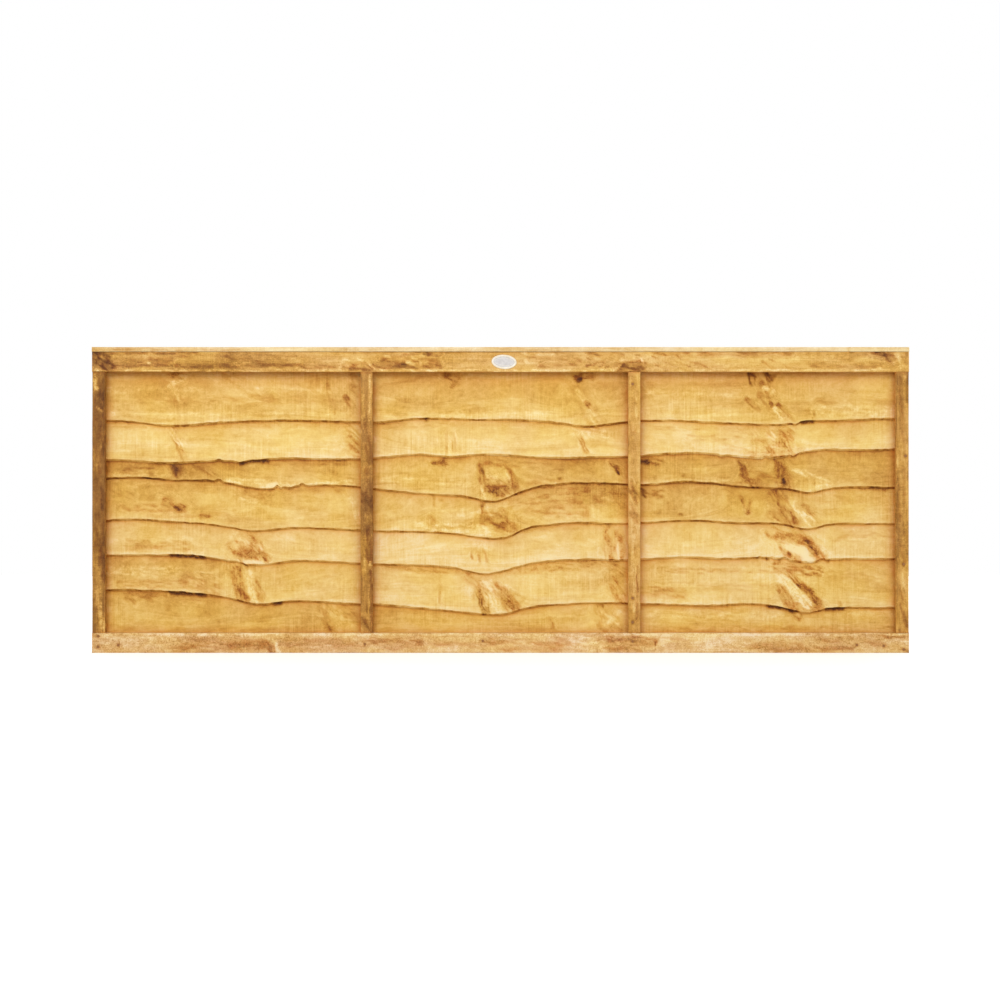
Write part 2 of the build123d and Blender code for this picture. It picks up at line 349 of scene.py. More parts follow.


# What the photograph shows on each piece, in its pixels. A mark is a soft stroke: from
# x,y to x,y, half its width and its strength from 0 to 1. Heart is the orange-brown wood of
# knots, dark the near-black brown, pale the cream sapwood. Some strokes are painted light
# and shade: brown bands just below the laps are stain deepened as painted shade, dark lines
# along the uprights' edges and under the capping are painted shade, and pale lines along the
# capping and the bottom rail's top corner are painted highlights.
MARKS = {
    "lap_board_1": {
        "heart": [(173,374, 181,376, 5,.8), (176,388, 182,423, 7,.22), (327,385, 335,413, 3,.35),
          (346,397, 358,417, 3.5,.5), (350,386, 359,394, 4,.4), (446,375, 459,381, 5,.5),
          (452,386, 458,376, 3,.4), (577,377, 590,375, 5,.75), (577,388, 597,424, 9,.22),
          (586,402, 593,410, 2.5,.6), (747,399, 759,410, 3,.4), (762,384, 770,394, 5,.45),
          (771,404, 792,426, 2.2,.8), (778,404, 794,421, 2.2,.7), (760,395, 776,412, 5,.3),
          (352,374, 356,384, 5,.4), (226,377, 262,392, 7,.3), (108,399, 350,400, 5,.2),
          (648,384, 750,385, 3,.25), (820,400, 892,400, 4,.15)],
        "dark": [(170,383, 171,385, 2,.5), (578,381, 580,380, 2.5,.6), (751,372, 752,383, 3.6,.75),
          (754,374, 757,382, 1.4,.5), (766,373, 769,379, 3.6,.6), (771,376, 770,386, 2,.5),
          (814,411, 814,421, 1.6,.6), (774,376, 772,384, 1.6,.5)],
        "pale": [(108,389, 205,389, 4,.25), (258,389, 330,390, 4,.22), (112,414, 340,414, 3,.2),
          (648,393, 748,395, 2.4,.28), (380,414, 560,412, 4,.2), (815,411, 892,411, 6,.4),
          (600,412, 740,416, 3,.15), (171,385, 184,376, 4,.8), (176,391, 182,400, 4,.35),
          (577,390, 586,402, 3,.4), (590,412, 598,424, 5,.3), (775,408, 783,418, 3,.8),
          (764,389, 769,388, 2.5,.6), (773,390, 771,395, 2,.5)]},
    "lap_board_2": {
        "heart": [(172,430, 184,458, 3.5,.45), (346,426, 357,435, 4,.35), (349,440, 359,449, 5,.6),
          (352,452, 359,455, 5,.5), (446,427, 447,453, 1.6,.4), (452,434, 455,451, 2.5,.35),
          (578,434, 586,452, 2.5,.55), (765,428, 779,444, 3,.6), (766,443, 772,453, 3,.75),
          (781,434, 789,448, 5,.6), (777,430, 792,440, 2.5,.5), (754,432, 754,451, 4,.22),
          (785,428, 792,433, 2.5,.5), (108,425, 345,425, 3.5,.3), (380,426, 560,423, 3,.25),
          (648,428, 745,430, 2,.35), (742,424, 792,432, 7,.35), (762,444, 796,452, 8,.4),
          (722,446, 750,452, 6,.2), (746,454, 822,455, 4,.6), (690,438, 790,436, 5,.3)],
        "dark": [(779,440, 786,448, 1.8,.5), (766,446, 770,452, 1.8,.45)],
        "pale": [(169,428, 181,445, 2.5,.5), (350,430, 357,438, 2.5,.5), (449,436, 451,452, 2,.4),
          (571,430, 586,436, 4,.3), (582,428, 606,434, 7,.6), (768,432, 774,438, 3,.6),
          (358,424, 372,438, 5,.4), (752,428, 756,434, 3,.3)]},
    "lap_board_3": {
        "heart": [(174,462, 178,473, 5.5,.5), (196,464, 212,474, 5,.25), (120,470, 150,470, 5,.35),
          (436,461, 444,462, 4.5,.7), (481,462, 500,462, 5,.45), (481,464, 483,492, 4,.45),
          (491,484, 503,492, 8,.75), (507,466, 515,482, 3,.6), (512,480, 518,494, 4,.5),
          (612,462, 620,473, 3,.7), (741,462, 745,475, 3.5,.7), (743,474, 754,486, 4,.5),
          (778,459, 784,492, 6,.65), (750,478, 776,484, 9,.35), (786,470, 792,490, 4,.35),
          (640,459, 660,463, 5,.45), (500,463, 560,467, 5,.25), (530,481, 585,485, 5,.25),
          (660,486, 740,484, 3,.25), (260,463, 345,462, 3,.3)],
        "dark": [(641,459, 647,462, 4,.5), (559,478, 560,478, 2,.7), (683,475, 683,475, 2,.6),
          (173,464, 178,475, 3.4,.12), (486,490, 498,493, 2,.45), (483,466, 484,476, 1.6,.4),
          (783,476, 784,490, 2.2,.6), (433,462, 435,462, 2,.4), (615,470, 619,473, 1.6,.5)],
        "pale": [(110,474, 170,473, 3,.35), (222,480, 262,482, 3.5,.65), (264,485, 300,488, 4.5,.65),
          (302,487, 350,483, 4.5,.65), (380,478, 470,484, 4,.25), (660,482, 735,480, 1.5,.4),
          (490,474, 500,480, 6,.45), (481,486, 486,498, 2,.6), (500,497, 512,496, 2.5,.4),
          (792,468, 830,484, 3.5,.55), (812,488, 826,484, 4,.35), (505,470, 513,484, 2,.4)]},
    "lap_board_4": {
        "heart": [(168,502, 181,507, 7,.6), (202,517, 208,516, 3,.6), (247,494, 260,496, 7,.35),
          (268,494, 270,490, 3,.4), (258,486, 340,490, 4,.35), (434,494, 434,505, 1.2,.5),
          (431,520, 438,531, 5,.5), (482,503, 484,512, 4,.5), (488,521, 500,524, 9,.6),
          (500,528, 515,531, 6,.4), (503,513, 512,524, 6,.4), (613,494, 621,505, 5,.35),
          (772,515, 790,525, 6,.45), (602,488, 622,492, 6,.4), (741,498, 748,513, 2.5,.7),
          (750,500, 750,512, 2,.5), (776,496, 792,524, 9,.6), (804,507, 812,513, 4,.45),
          (106,486, 128,496, 8,.3), (122,508, 178,509, 5,.4), (700,492, 890,500, 6,.15),
          (516,502, 614,495, 10,.38), (106,522, 160,524, 5,.1), (640,490, 660,494, 6,.4),
          (846,485, 884,488, 6,.45), (530,485, 590,488, 5,.4), (530,510, 585,512, 6,.35),
          (150,516, 225,514, 3,.25)],
        "dark": [(176,508, 179,510, 2.4,.6), (440,500, 441,500, 2.2,.6), (557,517, 558,517, 1.8,.6),
          (681,515, 681,515, 2.4,.7), (640,490, 646,495, 3.6,.5), (491,524, 500,527, 2.5,.2),
          (481,503, 482,508, 2,.5), (437,528, 439,532, 1.5,.4)],
        "pale": [(240,499, 262,503, 2,.45), (486,508, 491,514, 3,.4), (484,528, 492,534, 3,.5),
          (420,526, 488,531, 6,.55), (352,500, 362,528, 5,.4), (792,503, 811,523, 4.5,.6),
          (743,505, 746,511, 1.6,.5), (441,510, 470,515, 6,.2)]},
    "lap_board_5": {
        "heart": [(234,547, 247,559, 8,.75), (246,546, 254,556, 7,.85), (251,532, 267,560, 4,.7),
          (244,534, 250,546, 4,.4), (189,544, 190,549, 1.5,.5), (130,546, 185,547, 6,.35),
          (471,549, 472,558, 1.5,.45), (478,548, 480,562, 1.6,.35), (484,546, 487,562, 1.8,.4),
          (610,533, 611,556, 8,.6), (621,530, 623,557, 3.5,.7), (785,548, 797,561, 6,.8),
          (796,533, 822,560, 6,.75), (779,533, 781,533, 3,.5), (812,552, 820,560, 6,.35),
          (772,533, 798,543, 7,.85), (797,531, 818,548, 4,.55), (520,530, 610,524, 4,.3),
          (835,536, 890,534, 6,.25)],
        "dark": [(803,536, 808,542, 1.8,.5), (808,541, 812,547, 1.8,.5), (812,546, 818,553, 1.8,.45),
          (786,548, 790,554, 2,.4), (828,560, 829,561, 2.4,.7), (248,550, 251,556, 2,.4),
          (260,552, 265,560, 2,.35)],
        "pale": [(241,561, 257,562, 2.5,.8), (240,533, 247,542, 3,.35), (476,540, 488,548, 5,.3),
          (617,538, 619,561, 1.8,.3), (785,543, 800,549, 4.5,.75), (790,545, 810,559, 5.5,.85),
          (256,540, 262,550, 2,.5)]},
    "lap_board_6": {
        "heart": [(236,572, 243,598, 7,.8), (256,584, 261,598, 4.5,.5), (188,580, 214,589, 9,.35),
          # The strokes along rows 566 to 574, such as (386,567, 419,570), are stain deepened as painted shade
          # below lap 5
          (120,584, 185,584, 5,.35), (440,575, 440,604, 1.6,.4), (386,567, 419,570, 1.5,.4),
          (419,571, 482,574, 1.6,.55), (479,582, 484,604, 3,.45), (486,580, 496,584, 2.5,.4),
          (496,589, 512,606, 8,.6), (504,592, 518,611, 5,.5), (614,583, 622,600, 8,.55),
          (612,566, 623,572, 6,.4), (700,569, 780,573, 1.6,.55), (782,590, 793,609, 6,.9),
          (787,573, 820,603, 4,.85), (808,592, 817,605, 6,.5), (474,592, 475,600, 1.4,.5),
          (700,587, 780,588, 4,.2), (520,568, 616,562, 5,.5), (384,566, 470,571, 3,.35),
          (776,566, 818,572, 6,.65), (470,568, 560,571, 5,.4), (660,570, 740,572, 3,.4),
          (798,606, 822,610, 4,.8), (468,578, 484,590, 5,.45), (830,574, 890,580, 6,.15),
          (640,590, 682,594, 6,.4)],
        "dark": [(479,592, 484,613, 3.2,.85), (485,594, 489,612, 2.6,.7), (202,575, 203,575, 1.6,.5),
          (839,601, 840,607, 1.8,.7), (789,577, 800,588, 1.2,.6), (811,590, 818,604, 2.4,.4),
          (260,587, 260,590, 1.5,.4), (505,600, 514,608, 2,.3)],
        "pale": [(249,574, 254,603, 4.5,.45), (96,571, 180,571, 5,.45), (488,590, 498,608, 7,.45),
          (482,590, 486,606, 1.6,.5), (783,579, 808,604, 5.5,.9), (481,584, 490,580, 2,.5),
          (620,596, 626,600, 2,.4)]},
    "lap_board_7": {
        "heart": [(125,594, 165,596, 2.5,.5), (127,598, 134,602, 3,.45), (140,597, 152,601, 2.5,.4),
          (168,598, 200,599, 4,.3), (322,607, 330,629, 5,.35), (346,613, 358,619, 6,.35),
          (598,609, 606,630, 7,.4), (610,610, 620,628, 5,.35), (551,619, 552,627, 3,.4),
          (795,616, 799,620, 2.2,.6), (802,612, 800,619, 2,.5), (106,629, 350,630, 3,.25),
          (380,630, 560,630, 3,.18), (640,629, 893,629, 4,.3)],
        "dark": [(597,605, 602,606, 2,.5), (328,624, 331,630, 2,.35)],
        "pale": [(650,614, 780,615, 5,.35), (840,612, 890,612, 5,.3), (602,612, 618,624, 2.5,.5),
          (604,626, 619,612, 2.5,.5), (332,612, 345,626, 8,.25), (798,614, 799,617, 1.5,.5)]},
    "front_top_rail": {
        "heart": [(96,353, 110,369, 8,.7), (112,366, 168,365, 1.6,.55), (176,366, 300,365, 2,.6),
          # (110,353, 196,353) is painted shadow under the capping
          (150,358, 190,356, 2.5,.3), (110,353, 196,353, 1.3,.5), (108,363, 170,361, 4,.4),
          (225,356, 262,362, 2.5,.35), (300,366, 345,367, 2.4,.5), (352,367, 368,367, 5,.65),
          (372,366, 402,364, 4,.6), (384,360, 436,362, 5,.45), (396,366, 440,367, 2.5,.6),
          (428,355, 441,354, 2,.6), (404,354, 418,353, 1.5,.6), (532,356, 580,361, 2,.35),
          (540,366, 580,364, 2,.45), (586,366, 604,361, 1.4,.6), (594,365, 608,357, 1,.55),
          (600,367, 614,357, 1,.5), (606,368, 618,361, 1,.45), (588,358, 600,363, 1,.4),
          (596,355, 612,360, 1,.4), (622,366, 641,366, 6.5,.85), (652,356, 676,366, 1.1,.5),
          (662,354, 690,367, 1.1,.45), (676,356, 712,369, 1.1,.45), (654,364, 668,369, 1.1,.45),
          (695,364, 722,366, 1.5,.4), (762,362, 775,369, 1.4,.5), (770,360, 790,368, 1.2,.4),
          (812,366, 884,367, 2,.3), (874,353, 893,354, 3,.6), (884,355, 892,360, 4,.55),
          # (590,353, 622,354) and (655,353, 790,354) are painted shade under the capping
          (590,353, 622,354, 3,.35), (655,353, 790,354, 3,.4)],
        "dark": [(93,354, 106,359, 6,.65), (94,362, 110,367, 5,.55), (350,369, 368,369, 1.5,.5),
          (403,365, 409,365, 2.2,.5), (424,354, 430,353, 1.8,.4), (623,367, 641,367, 4,.25),
          # (850,352, 872,352.6) and (876,352, 891,352.6) are painted shadow under the capping's overhang
          (636,355, 645,353, 1.2,.5), (850,352, 872,352.6, .8,.5), (876,352, 891,352.6, 1.5,.95),
          (882,354, 890,357, 2.4,.5), (906,353, 909,368, 2,.5), (175,364, 178,364, 1.5,.4)],
        "pale": [(339,369, 343,361, 1.2,.6), (343,360, 358,358, 1.4,.45), (358,359, 369,362, 1.2,.6),
          (369,363, 376,369, 1.6,.75), (366,366, 371,370, 1,.5), (346,366, 357,363, 1.3,.4),
          (617,369, 622,361, 1.2,.6), (622,360, 640,358, 1.2,.5), (640,359, 648,369, 1.3,.6),
          (202,353, 216,352, 1.5,.6), (232,365, 250,361, 3,.4), (282,357, 299,356, 2,.4),
          (148,363, 176,364, 1.5,.55), (408,362, 420,366, 1.8,.6), (412,358, 424,356, 1.5,.5),
          (420,362, 422,370, 1.5,.4), (386,356, 404,358, 1.5,.4), (525,361, 538,362, 2,.5),
          (522,353, 552,354, 2.5,.6), (780,355, 870,360, 5,.25), (878,368, 901,359, 1.8,.6),
          (897,355, 903,368, 2.4,.6), (96,370.4, 340,370.4, 1.1,.75), (380,370.4, 616,370.4, 1.1,.75),
          (650,370.4, 890,370.4, 1.1,.65)]},
    "front_bottom_rail": {
        "heart": [(176,648, 265,645, 5,.5), (190,640, 262,641, 3,.3), (268,643, 272,651, 4,.7),
          (282,645, 360,646, 6,.3), (300,640, 350,640, 2,.3), (366,641, 420,643, 4,.5),
          (384,648, 425,648, 3,.3), (430,644, 475,645, 3,.4), (552,643, 584,646, 6,.5),
          (484,642, 560,646, 5,.45), (500,649, 560,650, 3,.5), (602,640, 654,642, 5,.65),
          (604,648, 640,650, 3,.5), (664,638, 684,640, 2,.3), (748,646, 800,645, 4,.3),
          (770,650, 850,649, 3,.4), (820,640, 838,642, 3,.35), (866,642, 885,646, 3,.35),
          (880,636, 908,636, 3,.5)],
        "dark": [(654.5,650, 656,643, 1,.8), (656,643, 659,640, 1,.6), (270,648, 272,651, 2,.3),
          (196,652, 214,652, 1.2,.3), (902,649, 908,651, 2.4,.6), (630,640, 634,641, 2,.4)],
        "pale": [(96,640, 176,640, 6,.35), (274,640, 280,651, 3,.6), (577,642, 600,645, 7,.45),
          # (92,634.4, 908,634.4) is a painted highlight on the bottom rail's top corner
          (657,646, 668,640, 4,.5), (700,645, 745,645, 6,.35), (92,634.4, 908,634.4, 1.2,.7),
          (898,640, 906,642, 2,.4)]},
    "front_left_stile": {
        "heart": [(101,380, 103,470, 3,.4), (97,400, 100,560, 6,.35), (102,540, 103,580, 3,.5)],
        "dark": [(97,392, 99,425, 3,.15), (94,470, 104,500, 4,.25), (103,500, 103,508, 3,.6),
          # (104,374, 104,600) is painted shade along the stile's inner edge
          (96,480, 97,540, 3,.2), (104,374, 104,600, 1.4,.35), (97,428, 102,452, 3,.2),
          (94,596, 95,630, 2,.3)],
        "pale": [(94,377, 97,387, 3.2,.95), (97,408, 102,411, 1.8,.6), (98,398, 103,404, 1.2,.4),
          (100,604, 103,631, 2.6,.8), (98,590, 100,612, 3,.4), (100,440, 101,448, 1.5,.3)]},
    "front_right_stile": {
        "heart": [(900,374, 903,440, 2.4,.35), (898,480, 900,520, 2.5,.3), (904,470, 905,500, 1.5,.25),
          (899,540, 905,560, 3,.3), (900,590, 906,625, 3,.4)],
        # (897,374, 897,632) is painted shade along the stile's inner edge
        "dark": [(908,374, 908,402, 2.2,.85), (906,374, 907,396, 2.5,.4), (897,374, 897,632, 1.2,.3),
          (904,453, 905,456, 1.6,.4), (902,562, 903,566, 1.6,.5), (906,618, 908,628, 3,.45),
          (897,606, 900,630, 1.5,.4)],
        "pale": [(904,374, 905,380, 2,.5), (902,575, 905,600, 2.5,.3), (898,455, 898,470, 1.2,.3)]},
    "front_batten_1": {
        "heart": [(364,424, 370,460, 5,.35), (366,470, 368,492, 4,.3), (363,496, 372,508, 5,.55),
          (367,530, 369,560, 4,.5), (371,570, 371.5,626, 1.6,.6), (363,620, 371,632, 4,.4)],
        "dark": [(371,496, 371.5,510, 2,.4), (364,500, 370,506, 2.5,.3), (364,624, 371,632, 3.5,.35),
          # (371.5,580, 371.5,612) and (361.5,374, 361.5,630) are painted shade along the batten's edges
          (371.5,580, 371.5,612, 1.1,.4), (361.5,374, 361.5,630, 1,.25)],
        "pale": [(369.5,376, 370,420, 1.4,.55), (364,560, 366,570, 2,.4), (363,395, 364,415, 2,.3),
          (370,562, 370.5,568, 1,.5)]},
    "front_batten_2": {
        "heart": [(626,400, 627,450, 1.6,.4), (629,484, 636,500, 4.5,.5), (628,505, 637,520, 4,.35),
          (637,560, 637.5,620, 1.2,.45), (632,425, 633,432, 3,.3)],
        "dark": [(631,486, 636,497, 3,.3), (630,514, 636,516, 2.6,.5), (632,383, 633,388, 1.4,.5),
          (628,443, 629,446, 1.6,.5), (631,376, 632,384, 1,.3)],
        "pale": [(633,530, 634,610, 2.6,.35), (630,376, 631,384, 1.6,.5), (636,392, 636.5,420, 1.2,.4)]},
    "top_capping": {
        "heart": [(92,350, 240,350, 1,.35), (500,349, 560,350, 1,.25)],
        "dark": [(849,347, 849.5,351, 1.3,.7)],
        # The pale strokes along row 348 are a painted highlight on the capping's top edge
        "pale": [(240,348, 480,348, 2,.4), (600,348, 845,348, 2,.4), (852,348, 908,348, 2,.5)]},
}

# Tone from the left to the right: pixel column and lightness, 0 dark brown to 1 cream
TONES = {
    "lap_board_1": [(100, .62), (350, .63), (380, .63), (620, .64), (650, .65), (900, .66)],
    "lap_board_2": [(100, .74), (350, .75), (380, .75), (450, .73), (620, .79), (650, .79), (900, .79)],
    "lap_board_3": [(100, .45), (220, .50), (300, .64), (380, .68), (520, .56), (560, .54), (600, .57),
        (650, .57), (900, .58)],
    "lap_board_4": [(100, .58), (150, .64), (220, .70), (350, .67), (380, .71), (540, .62), (650, .63),
        (900, .67)],
    "lap_board_5": [(100, .74), (350, .76), (380, .79), (560, .78), (650, .85), (770, .85), (900, .70)],
    "lap_board_6": [(100, .63), (230, .64), (300, .70), (380, .73), (560, .73), (610, .69), (650, .74),
        (700, .77), (900, .71)],
    "lap_board_7": [(100, .61), (200, .62), (270, .70), (350, .66), (380, .65), (600, .68), (650, .70),
        (900, .64)],
    "front_top_rail": [(92, .49), (200, .55), (330, .58), (450, .57), (560, .65), (650, .65), (909, .63)],
    "front_bottom_rail": [(92, .62), (170, .68), (250, .70), (400, .73), (560, .75), (700, .75), (909, .67)],
    "front_left_stile": [(92, .35), (106, .33)],
    "front_right_stile": [(896, .51), (909, .53)],
    "front_batten_1": [(360, .48), (374, .46)],
    "front_batten_2": [(625, .52), (640, .55)],
    "top_capping": [(92, .66), (909, .72)],
}
DEFAULT_TONE = {"rail": .56, "upright": .47}
# How far a board's colour leans to cream (below 0) or to yellow (above 0)
YELLOWNESS = {1: .1, 2: .15, 3: .1, 4: .1, 5: -.32, 6: -.1, 7: .1}

# Where a lap's edge stands off the board behind it: pixel column at each end
OPEN_LAPS = {
    "lap_board_1": [(422, 431), (799, 817)],
    "lap_board_2": [(237, 271)],
    "lap_board_5": [(167, 208), (755, 760), (764, 771), (776, 784), (825, 832)],
    "lap_board_6": [(167, 209), (270, 284), (764, 798), (823, 847)],
}
OPEN_BLEND = 4                   # pixels over which an open lap closes
# Splinters torn from a lap's edge: pixel column, half width and depth in pixels, the depth
# below 0 for a tongue that hangs down
TORN_EDGES = {
    "lap_board_2": [(219, 3, 1.2), (241, 9, -1.5), (766, 3, 1.6), (722, 5, -1.5), (794, 4, -2.0)],
    "lap_board_3": [(219, 4, 1.6), (277, 3, 2.2), (302, 3, 1.8), (290, 5, -1.2)],
    "lap_board_5": [(236, 3, 1.0), (247, 4, -1.2), (785, 5, 1.6), (772, 2, 1.0), (760, 2, .8), (822, 4, 1.6)],
    "lap_board_1": [(452, 3, .8), (796, 4, -1.4)],
}
MARK_KINDS = ("heart", "dark", "pale")
# Size of the streaks inside a mark, in pixels, across and along it
STREAK_ACROSS = 2.0
STREAK_ALONG = 8.0
# Strength of the dark strokes, where the dark in an open lap is 1
DARK_SHARE = 0.72


def stroke_mask(px, py, marks, seed, widen=1.0):
    """How strongly soft strokes, streaked along themselves, cover each place."""
    clear = np.ones(len(px))
    for x1, y1, x2, y2, half, strength in marks:
        length = math.hypot(x2 - x1, y2 - y1)
        step_x, step_y = ((x2 - x1) / length, (y2 - y1) / length) if length else (1.0, 0.0)
        along = (px - x1) * step_x + (py - y1) * step_y
        across = (px - x1) * step_y - (py - y1) * step_x
        beyond = np.maximum(np.maximum(-along, along - length), 0)
        cover = smooth((1.35 - np.hypot(beyond, across) / (half * widen)) / 0.95)
        streaks = 0.2 + 1.5 * smooth((fractal(across / STREAK_ACROSS, along / STREAK_ALONG, seed) - 0.25) / 0.5)
        clear *= 1 - np.clip(strength * cover * streaks, 0, 1)
    return 1 - clear


def seed_of(name):
    return sum((place + 1) * ord(letter) for place, letter in enumerate(name)) % 9973


def photo_marks(name, places):
    """Pixel column of each place on a piece, and its masks, their borders made uneven."""
    seed = seed_of(name)
    px, py = to_photo(places[:, 0], places[:, 1], places[:, 2])
    wave_x = px + 3.2 * (fractal(px / 7, py / 5, seed + 11) - 0.5)
    wave_y = py + 2.6 * (fractal(px / 8, py / 4, seed + 17) - 0.5)
    marks = MARKS.get(name, {})
    masks = {kind: stroke_mask(wave_x, wave_y, marks.get(kind, []), seed + 19) for kind in MARK_KINDS}
    masks["knot"] = stroke_mask(px, py, marks.get("heart", []), seed + 19, widen=1.9)
    masks["heart"] *= 1 - 0.8 * masks["pale"]
    masks["dark"] *= DARK_SHARE * (1 - 0.7 * masks["pale"])
    return px, masks


def tone_of(name, px):
    """Base tone of a piece from its left to its right."""
    if name in TONES:
        columns, tones = zip(*TONES[name])
        return np.interp(px, columns, tones)
    kind = "rail" if "rail" in name else "upright"
    return np.full(len(px), DEFAULT_TONE[kind])


# Meshes

def make_object(name, places, faces, attributes, material, replaced):
    """A closed mesh from its vertices and faces, riding the panel."""
    mesh = bpy.data.meshes.new(name)
    mesh.from_pydata(places.tolist(), [], faces)
    for key, values in attributes.items():
        kind = "FLOAT_VECTOR" if values.ndim == 2 else "FLOAT"
        layer = mesh.attributes.new(key, kind, "POINT")
        layer.data.foreach_set("vector" if values.ndim == 2 else "value",
                               np.ascontiguousarray(values, dtype=np.float32).ravel())
    mesh.shade_smooth()
    mesh.set_sharp_from_angle(angle=SHARP_ANGLE)
    mesh.materials.append(material)
    piece = bpy.data.objects.new(name, mesh)
    bpy.context.scene.collection.objects.link(piece)
    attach(piece, BODY)
    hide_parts(replaced)
    return piece


def grid_faces(first, rows, columns, turned):
    """Quads of a grid of vertices numbered row by row."""
    r, c = np.meshgrid(np.arange(rows - 1), np.arange(columns - 1), indexing="ij")
    a = (first + r * columns + c).ravel()
    quads = np.stack([a, a + columns, a + columns + 1, a + 1], axis=1)
    return (quads[:, ::-1] if turned else quads).tolist()


def stitch(fine, coarse, turned):
    """Triangles between a fine row of vertices and one with half as many."""
    faces = []
    for k in range(len(coarse) - 1):
        a, b = coarse[k], coarse[k + 1]
        f0, f1, f2 = fine[2 * k:2 * k + 3]
        faces += [(f0, f1, a), (f1, b, a), (f1, f2, b)]
    return [face[::-1] for face in faces] if turned else faces


class BoardFrame:
    """A leaning board's own axes: x along it, v down its face, w from its back to its front."""

    def __init__(self, name):
        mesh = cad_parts[name].data
        points = np.empty(len(mesh.vertices) * 3)
        mesh.vertices.foreach_get("co", points)
        self.points = points.reshape(-1, 3)
        face = max(mesh.polygons, key=lambda polygon: polygon.area * (abs(polygon.normal.y) > 0.9))
        normal = face.normal if face.normal.y < 0 else -face.normal
        self.out = np.array((0.0, normal.y, normal.z))
        self.down = np.array((0.0, -normal.z, normal.y))
        self.top = self.points[np.argmax(self.points[:, 1])] * (0, 1, 1)
        self.x_low = self.points[:, 0].min()
        self.x_high = self.points[:, 0].max()
        w = (self.points - self.top) @ self.out
        self.thickness = w.max()
        self.edges = self.lower_edges(mesh)

    def lower_edges(self, mesh):
        """Lower outlines (x, v) of the back and the front face, from the sloping faces."""
        sloping = set()
        for polygon in mesh.polygons:
            slope = np.dot(polygon.normal, self.out)
            if 0.2 < slope < 0.9 and polygon.area > 1e-6:
                sloping.update(polygon.vertices)
        chosen = self.points[sorted(sloping)]
        v = (chosen - self.top) @ self.down
        w = (chosen - self.top) @ self.out
        outlines = []
        for side in (w < self.thickness / 2, w >= self.thickness / 2):
            order = np.argsort(chosen[side, 0])
            outlines.append((chosen[side, 0][order], v[side][order]))
        return outlines

    def outline(self, side, x):
        xs, vs = self.edges[side]
        return np.interp(x, xs, vs)

    def place(self, x, v, w):
        """World places of x, v and w."""
        return (np.stack([x, np.zeros_like(x), np.zeros_like(x)], axis=-1) + self.top
                + v[..., None] * self.down + w[..., None] * self.out)


def blur(values, cells):
    """Smooth a row of values over a number of cells."""
    reach = max(1, int(3 * cells))
    weights = np.exp(-0.5 * (np.arange(-reach, reach + 1) / cells) ** 2)
    padded = np.pad(values, reach, mode="edge")
    return np.convolve(padded, weights / weights.sum(), mode="valid")


def ragged_edge(name, board, x):
    """Lower edges of the front and the back face along x, and how open the lap is."""
    seed = seed_of(name)
    cells = EDGE_SMOOTHING / BOARD_CELL
    back = blur(board.outline(0, x), cells)
    front = blur(board.outline(1, x), cells)
    wobble = EDGE_RAGGED * 2 * (fractal(x / 0.045, 0 * x, seed + 3) - 0.5)
    wobble += 0.7 * EDGE_RAGGED * 2 * (noise(x / 0.009, 0 * x, seed + 5) - 0.5)
    front_y = board.place(x, front, 0 * x + board.thickness)[:, 1]
    px = to_photo(x, front_y, 0 * x)[0]
    for column, half, depth in TORN_EDGES.get(name, []):
        wobble -= depth * PIXEL * smooth(1.2 - np.abs(px - column) / half)
    wide = WANE_SWING * (fractal(x / 0.06, 0 * x, seed + 7) - 0.62)
    wide += WANE_FLICKER * noise(x / 0.014, 0 * x, seed + 9)
    lift = 0 * x
    for low, high in OPEN_LAPS.get(name, []):
        lift = np.maximum(lift, smooth((px - low) / OPEN_BLEND) * smooth((high - px) / OPEN_BLEND))
    return front + wobble - wide, back + wobble, lift


def board_sheet(board, x, v_front, v_back, lift, rows, seed):
    """x, v and w of the front face and of the wane below it."""
    t = board.thickness
    s = np.linspace(0, 1, rows)[:, None]
    face_v = s * v_front[None, :]
    xx = np.broadcast_to(x, face_v.shape)
    relief = FACE_RELIEF * (0.5 * fractal(xx / 0.12, face_v / 0.02, seed + 21)
                            + 0.5 * fractal(xx / 0.011, face_v / 0.009, seed + 23))
    face_w = t - relief
    q = (np.arange(1, WANE_ROWS + 1) / WANE_ROWS)[:, None]
    lumps = WANE_LUMPS * (fractal(xx[:1] / 0.006, q * 2, seed + 25) - 0.5) * np.sin(math.pi * q)
    tip = TIP_THICKNESS + TIP_LIFT * lift[None, :]
    wane_v = v_front + (v_back - v_front) * q ** 0.9 - TIP_RISE * lift[None, :] * q
    wane_w = face_w[-1:] * (1 - q ** 1.35) + tip * q ** 1.35 + lumps
    v = np.vstack([face_v, wane_v])
    w = np.vstack([face_w, wane_w])
    return np.broadcast_to(x, v.shape), v, w


def back_sheet(x, v_tip, lift, rows):
    """x, v and w of the back face, which keeps off the next board where a lap is open."""
    s = np.linspace(0, 1, rows)[:, None]
    v = s * v_tip[None, :]
    near_tip = smooth(1 - (v_tip[None, :] - v) / BACK_LIFT_LENGTH)
    w = BACK_LIFT * lift[None, :] * near_tip
    return np.broadcast_to(x, v.shape), v, w


def ring_field(x, v, w, knot, seed):
    """Distance from the pith of the log, bent round knots: the growth rings follow it."""
    middle = 0.06 + 0.05 * (fractal(x / 0.9, 0 * x, seed + 31) - 0.5)
    below = RING_DEPTH * (1 + 0.6 * (fractal(x / 0.7, 0 * x, seed + 33) - 0.5))
    radius = np.sqrt((v - middle) ** 2 + (w + below) ** 2)
    return radius + 0.008 * fractal(x / 0.22, v / 0.03, seed + 35) + 0.009 * knot


def fading(distance, strength, reach):
    """A strength that fades with distance."""
    return strength * np.exp(-np.maximum(distance, 0) / reach)


